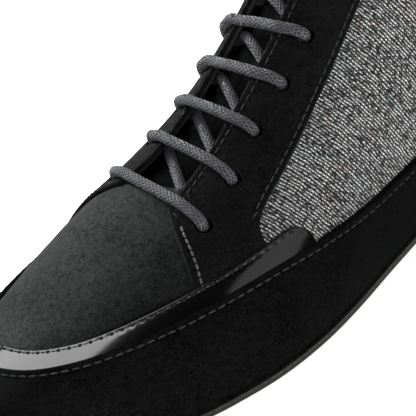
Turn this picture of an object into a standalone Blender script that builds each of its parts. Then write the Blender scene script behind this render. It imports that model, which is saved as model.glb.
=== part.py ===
"""Low dance sneaker for the left foot.

The shoe stands on its sole, toe along +X, outer side along +Y, up along +Z, with the floor at z = 0.
A lasted upper of one hollow wall is opened at the collar and the throat and closed below by a thin
leather sole with a low heel.  A rand, a glossy toe strip and two lace facings lie on the upper.
"""
import math

import bmesh
import bpy
import numpy as np

# Driving sizes of the last, metres
LENGTH = 0.268
BALL_WIDTH = 0.088
INSTEP_HEIGHT = 0.077
COLLAR_HEIGHT = 0.062
HEEL_LIFT = 0.0072
TOE_SPRING = 0.0060
HEEL_RADIUS = 0.030
TOE_RADIUS = 0.0236
TIP_MEDIAL = 0.0053
RIDGE_MEDIAL = 0.0060
RIDGE_TURN = (0.42, 0.72)

# Walls, layers and the small gaps between pieces
WALL = 0.0018
LAYER = 0.0012
GAP = 0.0003
LAYER_GAP = 0.00042
SOLE_THICK = 0.0038
SOLE_EDGE = 0.0012
INSOLE_THICK = 0.0030
INSOLE_INSET = 0.0026
TONGUE_THICK = 0.0030

# Throat, facings, eyelets and lace
THROAT_FRONT = 0.698
THROAT_ROUND = 0.020
THROAT_TOP = 0.405
COLLAR_CORNER = 0.020
FACING_EDGE = 0.0006
EYELET_RADIUS = 0.0026
EYELET_SIDES = 8
PUNCH_REACH = 0.006
LACE_RADIUS = 0.0016
LACE_OVER = 0.0035
LACE_UNDER = 0.0040
HEEL_FRONT = 0.25
HEEL_TAPER = 0.0012
HEEL_POLE = 0.20
TOE_POLE = 0.84
POLE_BLEND = 0.05

# Where the whole shoe sits, so that the floor point under the middle of its box is the origin
BACK_X = -0.13372
CENTRE_Y = -0.00092

# Half widths at the feather line: share of length, lateral and medial share of ball width
OUTLINE = np.array([
    (0.06, 0.264, 0.264), (0.12, 0.334, 0.327), (0.20, 0.349, 0.334), (0.30, 0.340, 0.305),
    (0.42, 0.354, 0.289), (0.52, 0.411, 0.314), (0.60, 0.472, 0.381), (0.66, 0.506, 0.443),
    (0.72, 0.510, 0.484), (0.77, 0.482, 0.491), (0.83, 0.430, 0.464), (0.89, 0.357, 0.405),
    (0.94, 0.265, 0.325), (0.98, 0.128, 0.218)])

# Feather line height: share of length, share of heel lift, share of toe spring
BOTTOM = np.array([
    (0.00, 1.00, 0.00), (0.10, 0.94, 0.00), (0.22, 0.81, 0.00), (0.34, 0.53, 0.00),
    (0.46, 0.22, 0.00), (0.56, 0.05, 0.00), (0.62, 0.00, 0.00), (0.78, 0.00, 0.00),
    (0.88, 0.00, 0.23), (0.95, 0.00, 0.63), (1.00, 0.00, 1.00)])

# Instep ridge, closed over the throat and ankle: share of length, share of instep height
RIDGE = np.array([
    (0.00, 1.714), (0.20, 1.688), (0.32, 1.455), (0.42, 1.198), (0.50, 0.992), (0.58, 0.814),
    (0.66, 0.694), (0.74, 0.618), (0.80, 0.553), (0.86, 0.468), (0.90, 0.413)])

# Rib shape: share of length, lean at the feather in degrees, rise and crown fullness
RIB = np.array([
    (0.00, 6.0, 0.30, 0.95), (0.20, 6.0, 0.34, 0.95), (0.40, 10.0, 0.42, 0.80),
    (0.55, 14.0, 0.46, 0.66), (0.70, 16.0, 0.50, 0.58), (0.84, 16.0, 0.52, 0.56),
    (1.00, 14.0, 0.62, 0.62)])

# Collar line: share of length, share of collar height
COLLAR = np.array([
    (0.00, 1.18), (0.06, 1.14), (0.14, 1.03), (0.21, 1.00), (0.28, 1.06), (0.35, 1.25), (0.42, 1.50)])

# Girth heights above the feather line in metres: share of length, rand top, strip top
BANDS = np.array([
    (0.00, 0.0235, 0.0235), (0.20, 0.0215, 0.0215), (0.45, 0.0200, 0.0200), (0.53, 0.0205, 0.0205),
    (0.61, 0.0227, 0.0296), (0.66, 0.0242, 0.0303), (0.713, 0.0250, 0.0305), (0.775, 0.0262, 0.0314),
    (0.835, 0.0270, 0.0315), (0.90, 0.0272, 0.0317), (0.95, 0.0282, 0.0335), (1.00, 0.0305, 0.0365)])
STRIP_REAR = 0.614
STRIP_ROUND = 0.022

# Throat and facings: share of length, lateral and medial half width of the throat, width of a facing
THROAT = np.array([
    (0.400, 0.0100, 0.0040, 0.0215), (0.470, 0.0102, 0.0050, 0.0220), (0.550, 0.0106, 0.0065, 0.0226),
    (0.600, 0.0112, 0.0067, 0.0235), (0.635, 0.0123, 0.0068, 0.0240), (0.650, 0.0127, 0.0070, 0.0250),
    (0.659, 0.0129, 0.0071, 0.0272), (0.668, 0.0131, 0.0073, 0.0350), (0.760, 0.0170, 0.0130, 0.0600)])

# Front edge of a facing: share of length, share of the height from strip to throat edge
FACING_FRONT = np.array([(0.712, 1.00), (0.722, 0.84), (0.740, 0.41), (0.7545, 0.02)])

# Lace rows, front to back: share of length, lateral and medial inset of the eyelet from the throat edge
ROWS = np.array([
    (0.700, 0.0128, 0.0060), (0.643, 0.0117, 0.0052), (0.590, 0.0096, 0.0046),
    (0.536, 0.0100, 0.0058), (0.486, 0.0100, 0.0060), (0.440, 0.0100, 0.0060)])

# Lace dipping into an eyelet: rib parameter past the eyelet, metres out from the upper
LACE_DIP = ((0.012, 0.0031), (0.002, 0.0020), (0.0, 0.0003), (0.0, -0.0016), (0.004, -0.0032))
LACE_RISE = (0.030, 0.075, 0.97)
LACE_TUCK = 0.035

# Tongue: share of length, half width, depth under the upper's outer face, metres
TONGUE = np.array([
    (0.378, 0.013, 0.0064), (0.381, 0.019, 0.0064), (0.387, 0.0235, 0.0064), (0.398, 0.0265, 0.0064),
    (0.430, 0.027, 0.0064), (0.560, 0.024, 0.0064), (0.690, 0.023, 0.0064),
    (0.715, 0.022, 0.0060), (0.735, 0.021, 0.0032), (0.755, 0.020, 0.0023)])

LATERAL = 1.0
MEDIAL = -1.0


def curve(rows, column, x):
    """Value of a table column at x: a cubic through its rows with mean slopes."""
    xs = rows[:, 0]
    ys = rows[:, column]
    x = np.clip(x, xs[0], xs[-1])
    step = np.diff(xs)
    slope = np.diff(ys) / step
    tangent = np.empty_like(ys)
    tangent[0] = slope[0]
    tangent[-1] = slope[-1]
    tangent[1:-1] = (slope[:-1] * step[1:] + slope[1:] * step[:-1]) / (step[:-1] + step[1:])
    k = np.clip(np.searchsorted(xs, x, side="right") - 1, 0, len(step) - 1)
    s = (x - xs[k]) / step[k]
    rise = ys[k] * (1 + 2 * s) * (1 - s) ** 2 + ys[k + 1] * s * s * (3 - 2 * s)
    return rise + step[k] * (tangent[k] * s * (1 - s) ** 2 - tangent[k + 1] * s * s * (1 - s))


def share(t):
    """Share of the length at station angle t, 0 at the heel and pi at the toe."""
    return (1 - np.cos(t)) / 2


def station(x):
    """Station angle at a share of the length."""
    return np.arccos(1 - 2 * np.asarray(x, float))


def swing(x):
    """Sideways drift of the toe towards the big toe."""
    return -TIP_MEDIAL * np.clip((x - 0.6) / 0.4, 0, 1) ** 2


def feather_height(x):
    """Height of the feather line over the floor."""
    lift = np.clip(curve(BOTTOM, 1, x), 0, 1)
    spring = np.clip(curve(BOTTOM, 2, x), 0, 1)
    return SOLE_THICK + HEEL_LIFT * lift + TOE_SPRING * spring


def feather(t, side):
    """Feather line: half width over the sine of the station runs smoothly into both end radii."""
    x = share(t)
    column = 1 if side > 0 else 2
    half = OUTLINE[:, column] * BALL_WIDTH - side * swing(OUTLINE[:, 0])
    angles = station(OUTLINE[:, 0])
    ends = (math.sqrt(HEEL_RADIUS * LENGTH / 2), math.sqrt(TOE_RADIUS * LENGTH / 2))
    full = np.concatenate([[ends[0]], half / np.sin(angles), [ends[1]]])
    table = np.stack([np.concatenate([[0.0], angles, [math.pi]]), full], axis=1)
    y = side * np.sin(t) * curve(table, 1, t) + swing(x)
    return np.stack([x * LENGTH, y, feather_height(x)], axis=-1)


def ridge_shift(x):
    """Drift of the ridge to the inner side, eased in along the instep."""
    s = np.clip((x - RIDGE_TURN[0]) / (RIDGE_TURN[1] - RIDGE_TURN[0]), 0, 1)
    return RIDGE_MEDIAL * s * s * (3 - 2 * s)


def apex(t):
    """Ridge point and ridge slope of the rib at station t, held at the heel and toe poles."""
    x = share(t)
    x = (x + HEEL_POLE + np.sqrt((x - HEEL_POLE) ** 2 + POLE_BLEND ** 2)) / 2
    x = (x + TOE_POLE - np.sqrt((x - TOE_POLE) ** 2 + POLE_BLEND ** 2)) / 2
    nudge = 0.004
    z = curve(RIDGE, 1, x) * INSTEP_HEIGHT
    rise = (curve(RIDGE, 1, x + nudge) - curve(RIDGE, 1, x - nudge)) * INSTEP_HEIGHT
    slope = rise / (2 * nudge * LENGTH) * np.clip((share(t) - HEEL_POLE) / 0.1, 0, 1)
    y = swing(x) - ridge_shift(x)
    return np.stack([x * LENGTH, y, z], axis=-1), slope


def rib(t, v, side):
    """Outer face of the upper: a cubic arc from the feather line (v = 0) to the ridge (v = 1)."""
    t, v = np.broadcast_arrays(np.asarray(t, float), np.asarray(v, float))
    foot = feather(t, side)
    top, slope = apex(t)
    plan = (foot - top)[..., :2]
    width = np.linalg.norm(plan, axis=-1)
    plan = plan / width[..., None]
    x = share(t)
    lean = np.radians(curve(RIB, 1, x))
    rise = curve(RIB, 2, x) * (top - foot)[..., 2]
    crown = curve(RIB, 3, x) * width
    out = np.sin(lean)[..., None] * plan
    first = foot + rise[..., None] * np.concatenate([out, np.cos(lean)[..., None]], axis=-1)
    last = top + crown[..., None] * np.concatenate([plan, (slope * plan[..., 0])[..., None]], axis=-1)
    w = 1 - v
    return ((w ** 3)[..., None] * foot + (3 * v * w * w)[..., None] * first
            + (3 * v * v * w)[..., None] * last + (v ** 3)[..., None] * top)


def normal(t, v, side):
    """Outward normal of the upper's outer face."""
    nudge = 0.002
    v = np.minimum(v, 1 - 3 * nudge)
    along = rib(t + nudge, v, side) - rib(t - nudge, v, side)
    up = rib(t, v + nudge, side) - rib(t, v - nudge, side)
    n = side * np.cross(up, along)
    return n / np.linalg.norm(n, axis=-1, keepdims=True)


def skin(t, v, side, out):
    """Point at a distance out from the upper's outer face."""
    t, v = np.broadcast_arrays(np.asarray(t, float), np.asarray(v, float))
    return rib(t, v, side) + out * normal(t, v, side)


SAMPLES = np.linspace(0.0, 1.0, 161)


def girth(t, side):
    """Girth height above the feather line along the rib, sampled at SAMPLES."""
    points = rib(t, SAMPLES, side)
    return np.concatenate([[0.0], np.cumsum(np.linalg.norm(np.diff(points, axis=0), axis=1))])


def at_girth(t, height, side):
    """Rib parameter at a girth height above the feather line."""
    return float(np.interp(height, girth(t, side), SAMPLES))


def throat_half(x, side):
    """Half width of the throat on one side."""
    return float(curve(THROAT, 1 if side > 0 else 2, x))


def top_edge(t, side):
    """Rib parameter of the upper's top edge: the throat, the collar, or the closed ridge."""
    x = float(share(t))
    if x >= THROAT_FRONT:
        return 1.0
    points = rib(t, SAMPLES, side)
    collar = float(curve(COLLAR, 1, x)) * COLLAR_HEIGHT
    collar = float(np.interp(collar, points[:, 2], SAMPLES))
    if x < THROAT_TOP - THROAT_ROUND:
        return collar
    ridge_y = points[-1, 1]
    turn = np.clip((x - THROAT_FRONT + THROAT_ROUND) / THROAT_ROUND, 0, 1)
    reach = (throat_half(x, side) - side * ridge_y) * math.sqrt(1 - turn * turn)
    away = side * (points[:, 1] - ridge_y)
    throat = float(np.interp(-reach, -away, SAMPLES))
    return throat if x > COLLAR[-1, 0] else min(throat, collar)


def throat_girth(x, side):
    """Girth height of the throat edge, carried on over the closed vamp."""
    t = float(station(x))
    points = rib(t, SAMPLES, side)
    away = side * (points[:, 1] - points[-1, 1])
    v = float(np.interp(-(throat_half(x, side) - side * points[-1, 1]), -away, SAMPLES))
    edge = min(v, top_edge(t, side)) if x < THROAT_TOP + COLLAR_CORNER else v
    return float(np.interp(edge, SAMPLES, girth(t, side)))


def band(x, column):
    """Rand top (column 1) or strip top (column 2) as a girth height."""
    return float(curve(BANDS, column, x))


def strip_top(x):
    """Top of the glossy strip, falling to the rand in a round end at the rear."""
    low = band(x, 1)
    s = np.clip((x - STRIP_REAR) / STRIP_ROUND, 0, 1)
    return low + (band(max(x, STRIP_REAR + STRIP_ROUND), 2) - low) * math.sqrt(s * (2 - s))


shoe = bpy.data.collections.new("dance sneaker")
cutters = bpy.data.collections.new("cutters")
for old in list(bpy.data.objects):
    bpy.data.objects.remove(old, do_unlink=True)
bpy.context.scene.collection.children.link(shoe)
bpy.context.scene.collection.children.link(cutters)


def material(name, colour, roughness, metallic=0.0):
    """Plain surface of one piece."""
    made = bpy.data.materials.new(name)
    made.use_nodes = True
    shader = made.node_tree.nodes["Principled BSDF"]
    shader.inputs["Base Color"].default_value = (*colour, 1.0)
    shader.inputs["Roughness"].default_value = roughness
    shader.inputs["Metallic"].default_value = metallic
    return made


def place(points):
    """Move points from the last's heel-based frame to the shoe's floor origin."""
    return np.asarray(points, float).reshape(-1, 3) + np.array([BACK_X, CENTRE_Y, 0.0])


def piece(name, points, faces, finish, home=None):
    """Welded mesh object with outward faces."""
    mesh = bpy.data.meshes.new(name)
    mesh.from_pydata(place(points).tolist(), [], faces)
    work = bmesh.new()
    work.from_mesh(mesh)
    bmesh.ops.remove_doubles(work, verts=work.verts, dist=0.00005)
    bmesh.ops.recalc_face_normals(work, faces=work.faces)
    work.to_mesh(mesh)
    work.free()
    made = bpy.data.objects.new(name, mesh)
    if finish is not None:
        mesh.materials.append(finish)
    (home or shoe).objects.link(made)
    return made


def grid_faces(rows, columns, start=0, closed=False):
    """Quads of a grid of points, with the last row joined to the first when closed."""
    faces = []
    for i in range(rows if closed else rows - 1):
        j = (i + 1) % rows
        for k in range(columns - 1):
            faces.append((start + i * columns + k, start + j * columns + k,
                          start + j * columns + k + 1, start + i * columns + k + 1))
    return faces


def shell(name, inner, outer, closed, finish):
    """Solid between two matching grids of points, with its four rims, or two when closed round."""
    rows, columns = inner.shape[:2]
    count = rows * columns
    faces = grid_faces(rows, columns, 0, closed) + grid_faces(rows, columns, count, closed)
    for i in range(rows if closed else rows - 1):
        j = (i + 1) % rows
        for k in (0, columns - 1):
            a = i * columns + k
            b = j * columns + k
            faces.append((a, b, count + b, count + a))
    if not closed:
        for i in (0, rows - 1):
            for k in range(columns - 1):
                a = i * columns + k
                faces.append((a, a + 1, count + a + 1, count + a))
    return piece(name, np.concatenate([inner.reshape(-1, 3), outer.reshape(-1, 3)]), faces, finish)


def block(name, top, base, finish):
    """Solid between a top and a base strip of lateral and medial points, one pair per station."""
    rows = top.shape[0]
    return shell(name, top.reshape(rows, 2, 3), base.reshape(rows, 2, 3), False, finish)


def outline(ts, out):
    """Lateral and medial points of the feather line moved out in plan, one pair per station."""
    pairs = []
    for side in (LATERAL, MEDIAL):
        edge = feather(ts, side)
        nudge = 0.002
        run = feather(ts + nudge, side) - feather(ts - nudge, side)
        away = side * np.stack([-run[:, 1], run[:, 0]], axis=1)
        edge[:, :2] += out * away / np.linalg.norm(away, axis=1, keepdims=True)
        pairs.append(edge)
    return np.stack(pairs, axis=1)


# Outsole: one thin leather slab under the whole foot, flat under the ball, sprung at the toe
leather = material("sole leather", (0.035, 0.028, 0.020), 0.75)
FLAT_BALL = (0.62, 0.78)
sole_ts = np.sort(np.concatenate([np.linspace(0.0, math.pi, 47), station([*FLAT_BALL, HEEL_FRONT])]))
sole_top = outline(sole_ts, SOLE_EDGE)
sole_x = np.clip(sole_top[:, :, 0] / LENGTH, 0, 1)
sole_top[:, :, 2] = feather_height(sole_x)
sole_base = sole_top.copy()
sole_base[:, :, 2] -= SOLE_THICK
outsole = block("outsole", sole_top, sole_base, leather)

# Heel: a low lift glued under the rear of the outsole, its floor face a little smaller
heel_ts = np.linspace(0.0, float(station(HEEL_FRONT)), 15)
heel_top = outline(heel_ts, SOLE_EDGE - GAP)
heel_top[:, :, 2] = feather_height(np.clip(heel_top[:, :, 0] / LENGTH, 0, 1)) - SOLE_THICK - GAP
heel_base = outline(heel_ts, SOLE_EDGE - HEEL_TAPER)
heel_base[:, :, 2] = 0.0
heel = block("heel", heel_top, heel_base, material("heel lift", (0.020, 0.018, 0.016), 0.7))

# Insole: a flat sock inside the wall, lying on the outsole
insole_ts = np.linspace(0.0, math.pi, 39)
insole_base = outline(insole_ts, -INSOLE_INSET)
insole_x = np.clip(insole_base[:, :, 0] / LENGTH, 0, 1)
insole_base[:, :, 2] = feather_height(insole_x) + GAP
insole_top = insole_base.copy()
insole_top[:, :, 2] += INSOLE_THICK
insole = block("insole", insole_top, insole_base, material("sock lining", (0.045, 0.042, 0.040), 0.85))

# Upper: one wall from the feather line to the collar and the throat, closed over the vamp
UPPER_STATIONS = np.concatenate([
    np.linspace(0.0, 0.60, 7), np.linspace(0.60, float(station(THROAT_TOP)), 9)[1:],
    station(np.linspace(THROAT_TOP, THROAT_FRONT - THROAT_ROUND, 9)[1:]),
    station(THROAT_FRONT - THROAT_ROUND * np.array([0.5, 0.22, 0.06, 0.0])),
    np.linspace(float(station(THROAT_FRONT)), math.pi, 15)[1:]])
UPPER_ROWS = 12


def upper_grid(side, inward):
    """Rows of the upper on one side, at a depth under its outer face."""
    rows = []
    for t in UPPER_STATIONS:
        low = at_girth(t, GAP, side)
        v = low + (top_edge(t, side) - low) * np.linspace(0, 1, UPPER_ROWS)
        points = skin(t, v, side, -inward)
        if v[-1] >= 1.0:
            top, slope = apex(t)
            points[-1] = top - inward * np.array([-slope, 0.0, 1.0]) / math.hypot(slope, 1.0)
        rows.append(points)
    return np.array(rows)


suede = material("suede", (0.022, 0.023, 0.023), 0.9)
upper_points = []
upper_faces = []
count = len(UPPER_STATIONS) * UPPER_ROWS
closed_from = int(np.argmax(share(UPPER_STATIONS) >= THROAT_FRONT - 1e-6))
for half, side in enumerate((LATERAL, MEDIAL)):
    start = 2 * half * count
    upper_points += [upper_grid(side, 0.0).reshape(-1, 3), upper_grid(side, WALL).reshape(-1, 3)]
    upper_faces += grid_faces(len(UPPER_STATIONS), UPPER_ROWS, start)
    upper_faces += grid_faces(len(UPPER_STATIONS), UPPER_ROWS, start + count)
    for i in range(len(UPPER_STATIONS) - 1):
        low = start + i * UPPER_ROWS
        upper_faces.append((low, low + UPPER_ROWS, low + UPPER_ROWS + count, low + count))
        if i < closed_from:
            high = low + UPPER_ROWS - 1
            upper_faces.append((high, high + UPPER_ROWS, high + UPPER_ROWS + count, high + count))
upper = piece("upper", np.concatenate(upper_points), upper_faces, suede)


def ring_band(low, high, columns):
    """Points round the whole shoe between two girth lines, at both faces of a layer."""
    x = share(UPPER_STATIONS)
    ts = UPPER_STATIONS[(x < THROAT_FRONT - 0.6 * THROAT_ROUND) | (x > THROAT_FRONT - 0.01 * THROAT_ROUND)]
    loop = [(t, LATERAL) for t in ts] + [(t, MEDIAL) for t in ts[-2:0:-1]]
    return [band_rows(loop, low, high, columns, out) for out in (LAYER_GAP, LAYER_GAP + LAYER)]


def band_rows(stations, low, high, columns, out):
    """Points across a band for each station and side, at a distance from the upper."""
    rows = []
    for t, side in stations:
        x = float(share(t))
        heights = np.linspace(low(x, side), high(x, side), columns)
        v = np.interp(heights, girth(t, side), SAMPLES)
        rows.append(skin(t, v, side, out))
    return np.array(rows)


# Rand: a suede band round the whole shoe, standing on the sole's edge
rand_inner, rand_outer = ring_band(lambda x, s: 2 * GAP, lambda x, s: band(x, 1), 6)
rand = shell("rand", rand_inner, rand_outer, True, material("rand suede", (0.010, 0.010, 0.010), 0.95))

# Toe strip: a glossy patent band above the rand, round the toe to both sides
strip_ts = station(np.concatenate([
    STRIP_REAR + STRIP_ROUND * np.array([0.03, 0.12, 0.3, 0.6, 1.0]), np.linspace(0.64, 0.90, 10)]))
strip_ts = np.concatenate([strip_ts, np.linspace(float(strip_ts[-1]), math.pi, 9)[1:]])
strip_line = [(t, LATERAL) for t in strip_ts] + [(t, MEDIAL) for t in strip_ts[-2::-1]]
strip_sides = [band_rows(strip_line, lambda x, s: band(x, 1) + GAP, lambda x, s: strip_top(x) + 2 * GAP, 3, out)
               for out in (LAYER_GAP, LAYER_GAP + LAYER)]
strip = shell("toe_strip", strip_sides[0], strip_sides[1], False, material("patent", (0.008, 0.008, 0.009), 0.08))


# Facings: one lace panel a side, from the collar corner along the throat to the strip
def facing_high(x, side):
    """Throat edge of a facing, then its front edge down to the strip."""
    edge = throat_girth(x, side) - FACING_EDGE
    if x <= FACING_FRONT[0, 0]:
        return edge
    low = strip_top(x) + 3 * GAP
    return low + (edge - low) * float(curve(FACING_FRONT, 1, x))


def facing_low(x, side):
    """Rear edge of a facing at its full width, then the top of the strip."""
    return max(throat_girth(x, side) - float(curve(THROAT, 3, x)), strip_top(x) + 3 * GAP)


FACING_CORNER = (0.635, 0.648, 0.656, 0.663, 0.668, 0.684)
FACING_TIP = (0.699, 0.712, 0.722, 0.731, 0.740, 0.748, 0.754)
facing_xs = np.concatenate([np.linspace(THROAT_TOP + 0.002, FACING_CORNER[0], 10), FACING_CORNER[1:], FACING_TIP])
facings = []
for side, name in ((LATERAL, "facing_lateral"), (MEDIAL, "facing_medial")):
    line = [(t, side) for t in station(facing_xs)]
    sides = [band_rows(line, facing_low, facing_high, 5, out) for out in (LAYER_GAP, LAYER_GAP + LAYER)]
    facings.append(shell(name, sides[0], sides[1], False, material(name + " suede", (0.012, 0.012, 0.012), 0.9)))


def eyelet(row, side):
    """Station and rib parameter of an eyelet, by its lace row."""
    x = ROWS[row, 0]
    t = float(station(x))
    inset = ROWS[row, 1 if side > 0 else 2]
    return t, at_girth(t, throat_girth(x, side) - inset, side)


# Eyelets: plain punched holes through each facing and the upper behind it
for side, target in ((LATERAL, facings[0]), (MEDIAL, facings[1])):
    work = bmesh.new()
    for row in range(len(ROWS)):
        t, v = eyelet(row, side)
        centre = skin(t, v, side, 0.0)
        axis = normal(t, v, side)
        across = np.cross(axis, (0.0, 1.0, 0.0))
        across = across / np.linalg.norm(across)
        other = np.cross(axis, across)
        rings = []
        for reach in (-PUNCH_REACH, PUNCH_REACH):
            turn = np.arange(EYELET_SIDES) * 2 * math.pi / EYELET_SIDES
            ring = centre + axis * reach + EYELET_RADIUS * (
                np.cos(turn)[:, None] * across + np.sin(turn)[:, None] * other)
            rings.append([work.verts.new(p) for p in place(ring)])
        for k in range(EYELET_SIDES):
            n = (k + 1) % EYELET_SIDES
            work.faces.new((rings[0][k], rings[0][n], rings[1][n], rings[1][k]))
        work.faces.new(rings[0][::-1])
        work.faces.new(rings[1])
    bmesh.ops.recalc_face_normals(work, faces=work.faces)
    mesh = bpy.data.meshes.new("punch")
    work.to_mesh(mesh)
    work.free()
    punch = bpy.data.objects.new("punch_" + target.name, mesh)
    punch.hide_render = True
    punch.display_type = "WIRE"
    cutters.objects.link(punch)
    for part in (target, upper):
        cut = part.modifiers.new("eyelets", "BOOLEAN")
        cut.operation = "DIFFERENCE"
        cut.solver = "EXACT"
        cut.object = punch


# Tongue: a padded leaf under the throat, its front end tucked up under the vamp
TONGUE_STATIONS = np.concatenate([
    TONGUE[:4, 0], np.linspace(0.400, 0.690, 11), [0.703, 0.715, 0.725, 0.735, 0.745, 0.755]])


def tongue_grid(extra):
    """Points across the tongue at each station, at its depth under the upper plus extra."""
    rows = []
    for x in TONGUE_STATIONS:
        t = float(station(x))
        half = float(curve(TONGUE, 1, x))
        depth = float(curve(TONGUE, 2, x)) + extra
        row = []
        for reach in half * np.linspace(1, -1, 11) + float(ridge_shift(x)):
            side = LATERAL if reach > 0 else MEDIAL
            v = at_girth(t, girth(t, side)[-1] - abs(reach), side)
            row.append(skin(t, v, side, -depth))
        rows.append(row)
    return np.array(rows)


tongue = shell("tongue", tongue_grid(0.0), tongue_grid(TONGUE_THICK), False,
               material("tongue lining", (0.012, 0.012, 0.013), 0.8))


# Lace: a round cord, straight bars over the facings and slanting runs under them
def across_top(row):
    """Bar of one row over the facings, from the medial eyelet to the lateral one."""
    points = []
    for side, order in ((MEDIAL, 1), (LATERAL, -1)):
        t, v = eyelet(row, side)
        start, flat, ridge = LACE_RISE
        stops = np.concatenate([[v + start], np.linspace(v + flat, ridge, 5)])
        points.append(skin(t, stops, side, LACE_OVER)[::order])
    return np.concatenate(points)


def through(row, side):
    """Points down one eyelet, from above the facing to below the upper."""
    t, v = eyelet(row, side)
    return np.array([skin(t, v + rise, side, out) for rise, out in LACE_DIP])


def below(row):
    """Slanting run from a lateral eyelet to the next row's medial one, under the upper."""
    t0, v0 = eyelet(row, LATERAL)
    t1, v1 = eyelet(row + 1, MEDIAL)
    start = skin(t0, v0 + LACE_TUCK, LATERAL, -LACE_UNDER)
    end = skin(t1, v1 + LACE_TUCK, MEDIAL, -LACE_UNDER)
    points = [start]
    for s in (0.2, 0.4, 0.6, 0.8):
        t = float(station(ROWS[row, 0] + (ROWS[row + 1, 0] - ROWS[row, 0]) * s))
        y = start[1] + (end[1] - start[1]) * s
        ridge_y = float(apex(t)[0][1])
        side = LATERAL if y > ridge_y else MEDIAL
        rib_points = rib(t, SAMPLES, side)
        v = float(np.interp(-side * (y - ridge_y), -side * (rib_points[:, 1] - ridge_y), SAMPLES))
        points.append(skin(t, v, side, -LACE_UNDER))
    return np.array(points + [end])


path = []
for row in range(len(ROWS)):
    path += [through(row, MEDIAL)[::-1], across_top(row), through(row, LATERAL)]
    if row + 1 < len(ROWS):
        path.append(below(row))
path = place(np.concatenate(path))
cord = bpy.data.curves.new("lace", "CURVE")
cord.dimensions = "3D"
cord.bevel_depth = LACE_RADIUS
cord.bevel_resolution = 1
cord.use_fill_caps = True
spline = cord.splines.new("POLY")
spline.points.add(len(path) - 1)
spline.points.foreach_set("co", np.column_stack([path, np.ones(len(path))]).ravel())
draft = bpy.data.objects.new("lace draft", cord)
bpy.context.scene.collection.objects.link(draft)
bpy.context.view_layer.update()
mesh = bpy.data.meshes.new_from_object(draft.evaluated_get(bpy.context.evaluated_depsgraph_get()))
bpy.data.objects.remove(draft, do_unlink=True)
work = bmesh.new()
work.from_mesh(mesh)
bmesh.ops.remove_doubles(work, verts=work.verts, dist=0.00005)
bmesh.ops.recalc_face_normals(work, faces=work.faces)
work.to_mesh(mesh)
work.free()
mesh.name = "lace"
mesh.materials.clear()
mesh.materials.append(material("lace cord", (0.060, 0.066, 0.072), 0.8))
lace = bpy.data.objects.new("lace", mesh)
shoe.objects.link(lace)
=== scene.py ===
"""Looks of a low dance sneaker for the left foot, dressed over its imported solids."""

import math

import bmesh
import bpy
import numpy as np
from mathutils import Matrix, Vector


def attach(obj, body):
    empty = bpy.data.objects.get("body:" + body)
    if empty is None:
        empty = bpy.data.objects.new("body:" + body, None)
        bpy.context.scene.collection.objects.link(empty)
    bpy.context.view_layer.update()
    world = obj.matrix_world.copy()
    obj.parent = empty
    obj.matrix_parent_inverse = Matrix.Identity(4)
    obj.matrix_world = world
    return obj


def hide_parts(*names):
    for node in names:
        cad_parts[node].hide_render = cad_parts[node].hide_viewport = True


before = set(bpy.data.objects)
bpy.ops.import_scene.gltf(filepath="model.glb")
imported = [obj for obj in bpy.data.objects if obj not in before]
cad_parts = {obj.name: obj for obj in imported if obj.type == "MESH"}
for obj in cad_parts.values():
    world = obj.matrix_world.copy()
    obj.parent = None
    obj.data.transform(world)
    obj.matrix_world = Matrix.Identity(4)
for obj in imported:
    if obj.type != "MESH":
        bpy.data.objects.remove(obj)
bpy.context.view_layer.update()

# Outsole: a thin slab of sole leather under the whole foot, flat under the ball, sprung at the toe.
# It is cut to the last's outline, trimmed and inked at the edge, with a pale raw line on top of it.
LENGTH = 0.268
BALL_WIDTH = 0.088
HEEL_LIFT = 0.0072
TOE_SPRING = 0.0060
HEEL_RADIUS = 0.030
TOE_RADIUS = 0.0236
TIP_MEDIAL = 0.0053
SWING_FROM = 0.6
SOLE_THICK = 0.0038
BACK_X = -0.13372
CENTRE_Y = -0.00092

# Half widths at the feather line: share of length, lateral and medial share of ball width
OUTLINE = np.array([
    (0.06, 0.264, 0.264), (0.12, 0.334, 0.327), (0.20, 0.349, 0.334), (0.30, 0.340, 0.305),
    (0.42, 0.354, 0.289), (0.52, 0.411, 0.314), (0.60, 0.472, 0.381), (0.66, 0.506, 0.443),
    (0.72, 0.510, 0.484), (0.77, 0.482, 0.491), (0.83, 0.430, 0.464), (0.89, 0.357, 0.405),
    (0.94, 0.265, 0.325), (0.98, 0.128, 0.218)])

# Feather line height: share of length, share of heel lift, share of toe spring
BOTTOM = np.array([
    (0.00, 1.00, 0.00), (0.10, 0.94, 0.00), (0.22, 0.81, 0.00), (0.34, 0.53, 0.00),
    (0.46, 0.22, 0.00), (0.56, 0.05, 0.00), (0.62, 0.00, 0.00), (0.78, 0.00, 0.00),
    (0.88, 0.00, 0.23), (0.95, 0.00, 0.63), (1.00, 0.00, 1.00)])


def curve(rows, column, x):
    """Value of a table column at x: a cubic through its rows with mean slopes."""
    xs = rows[:, 0]
    ys = rows[:, column]
    x = np.clip(x, xs[0], xs[-1])
    step = np.diff(xs)
    tangent = np.gradient(ys, xs)
    k = np.clip(np.searchsorted(xs, x, side="right") - 1, 0, len(step) - 1)
    s = (x - xs[k]) / step[k]
    rise = ys[k] * (1 + 2 * s) * (1 - s) ** 2 + ys[k + 1] * s * s * (3 - 2 * s)
    return rise + step[k] * (tangent[k] * s * (1 - s) ** 2 - tangent[k + 1] * s * s * (1 - s))


def share(t):
    """Share of the length at station angle t, 0 at the heel and pi at the toe: (1 - cos t) / 2."""
    return (1 - np.cos(t)) / 2


def station(x):
    """Station angle at a share of the length."""
    return np.arccos(1 - 2 * x)


def swing(x):
    """Sideways drift of the toe towards the big toe: a square law from SWING_FROM to the tip."""
    return -TIP_MEDIAL * np.clip((x - SWING_FROM) / (1 - SWING_FROM), 0, 1) ** 2


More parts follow.
